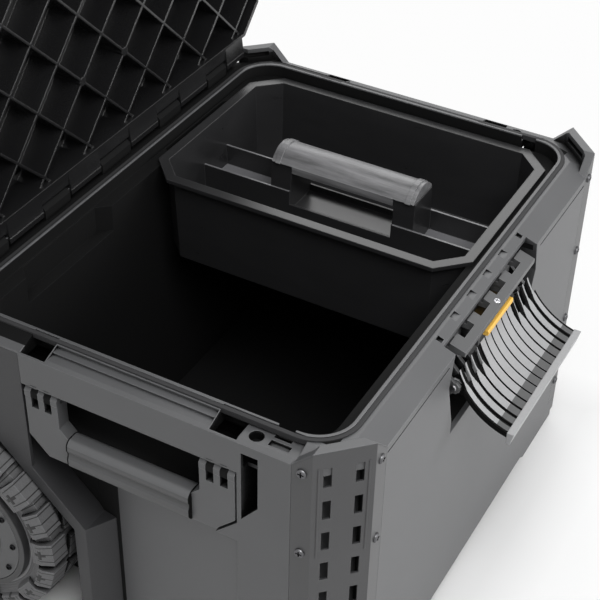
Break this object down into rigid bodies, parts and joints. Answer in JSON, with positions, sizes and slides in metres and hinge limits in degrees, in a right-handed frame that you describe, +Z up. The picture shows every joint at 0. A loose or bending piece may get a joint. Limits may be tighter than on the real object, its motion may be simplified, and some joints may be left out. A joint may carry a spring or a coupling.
{
  "type": "rolling toolbox",
  "caption": "Wheeled tool chest with a hinged ribbed lid, front flap latch, slotted corner brackets, folding side handles, lift-out tray and telescopic pull handle.",
  "frame": {"origin": "middle of the bounding box on the floor", "axes": "+Z up, -Y towards the front with the latch, +X to the right seen from the front; the lid stands open and the handles are folded"},
  "size_m": [0.623, 0.587, 0.7965],
  "materials": {
    "tub_plastic": "satin moulded, fine grain",
    "lid_plastic": "satin moulded, fine grain",
    "seal_rubber": "matte",
    "bracket_paint": "satin powder coat",
    "screw_steel": "plated",
    "pin_steel": "ground",
    "latch_plastic": "satin moulded",
    "bolt_plastic": "satin moulded",
    "tube_aluminium": "black anodised",
    "clamp_plastic": "satin moulded",
    "grip_rubber": "matte soft grip",
    "button_plastic": "satin moulded",
    "handle_plastic": "satin moulded",
    "tyre": "matte",
    "rim_plastic": "satin moulded",
    "ring_plastic": "satin moulded",
    "tray_plastic": "satin moulded",
    "tray_grip_plastic": "satin moulded"
  },
  "bodies": {
    "tub": {"tub_shell": "tub_plastic", "rim_seal": "seal_rubber", "corner_bracket_left": "bracket_paint", "corner_bracket_right": "bracket_paint", "bracket_screws": "screw_steel", "arch_cover_left": "tub_plastic", "arch_cover_right": "tub_plastic", "axle": "pin_steel", "axle_spacers": "pin_steel", "axle_retainers": "pin_steel", "hinge_rod": "pin_steel", "latch_base": "latch_plastic", "latch_pins": "pin_steel", "side_handle_pins": "pin_steel", "handle_outer_tubes": "tube_aluminium", "handle_outer_collars": "clamp_plastic", "handle_upper_clamp": "clamp_plastic", "handle_lower_clamp": "clamp_plastic"},
    "lid": {"lid_shell": "lid_plastic"},
    "flap": {"latch_flap": "latch_plastic"},
    "bolt": {"latch_bolt": "bolt_plastic"},
    "carry_handle_left": {"side_handle_left": "handle_plastic", "side_grip_left": "grip_rubber"},
    "carry_handle_right": {"side_handle_right": "handle_plastic", "side_grip_right": "grip_rubber"},
    "wheel_left": {"tyre_left": "tyre", "wheel_rim_left": "rim_plastic", "rim_ring_left": "ring_plastic", "rim_bolts_left": "screw_steel", "hub_cap_left": "rim_plastic"},
    "wheel_right": {"tyre_right": "tyre", "wheel_rim_right": "rim_plastic", "rim_ring_right": "ring_plastic", "rim_bolts_right": "screw_steel", "hub_cap_right": "rim_plastic"},
    "middle_stage": {"handle_middle_tubes": "tube_aluminium", "handle_middle_collars": "clamp_plastic"},
    "inner_stage": {"handle_inner_tubes": "tube_aluminium", "pull_grip": "grip_rubber"},
    "button": {"release_button": "button_plastic"},
    "tray": {"tray_shell": "tray_plastic", "tray_grip": "tray_grip_plastic"}
  },
  "joints": [
    {"name": "lid_hinge", "type": "hinge", "parent": "tub", "child": "lid", "pos_m": [0, 0.1975, 0.3625], "axis": [1, 0, 0], "range_deg": [0, 90]},
    {"name": "flap_hinge", "type": "hinge", "parent": "tub", "child": "flap", "pos_m": [0, -0.2311, 0.3], "axis": [1, 0, 0], "range_deg": [0, 50]},
    {"name": "bolt_slide", "type": "slide", "parent": "tub", "child": "bolt", "axis": [0, 0, 1], "range_m": [0, 0.006]},
    {"name": "left_handle_hinge", "type": "hinge", "parent": "tub", "child": "carry_handle_left", "pos_m": [-0.281, -0.0145, 0.305], "axis": [0, 1, 0], "range_deg": [0, 90]},
    {"name": "right_handle_hinge", "type": "hinge", "parent": "tub", "child": "carry_handle_right", "pos_m": [0.281, -0.0145, 0.305], "axis": [0, -1, 0], "range_deg": [0, 90]},
    {"name": "left_wheel_spin", "type": "hinge", "parent": "tub", "child": "wheel_left", "pos_m": [-0.2735, 0.181, 0.1125], "axis": [1, 0, 0], "continuous": true},
    {"name": "right_wheel_spin", "type": "hinge", "parent": "tub", "child": "wheel_right", "pos_m": [0.2735, 0.181, 0.1125], "axis": [1, 0, 0], "continuous": true},
    {"name": "middle_stage_slide", "type": "slide", "parent": "tub", "child": "middle_stage", "axis": [0, 0, 1], "range_m": [0, 0.24]},
    {"name": "inner_stage_slide", "type": "slide", "parent": "middle_stage", "child": "inner_stage", "axis": [0, 0, 1], "range_m": [0, 0.24]},
    {"name": "button_press", "type": "slide", "parent": "inner_stage", "child": "button", "axis": [0, 0, -1], "range_m": [0, 0.003], "stiffness_N_per_m": 400},
    {"name": "tray_lift", "type": "slide", "parent": "tub", "child": "tray", "axis": [0, 0, -1], "range_m": [-0.12, 0]}
  ],
  "couplings": [
    {"joint": "bolt_slide", "follows": "flap_hinge", "m_per_rad": 0.006875}
  ]
}
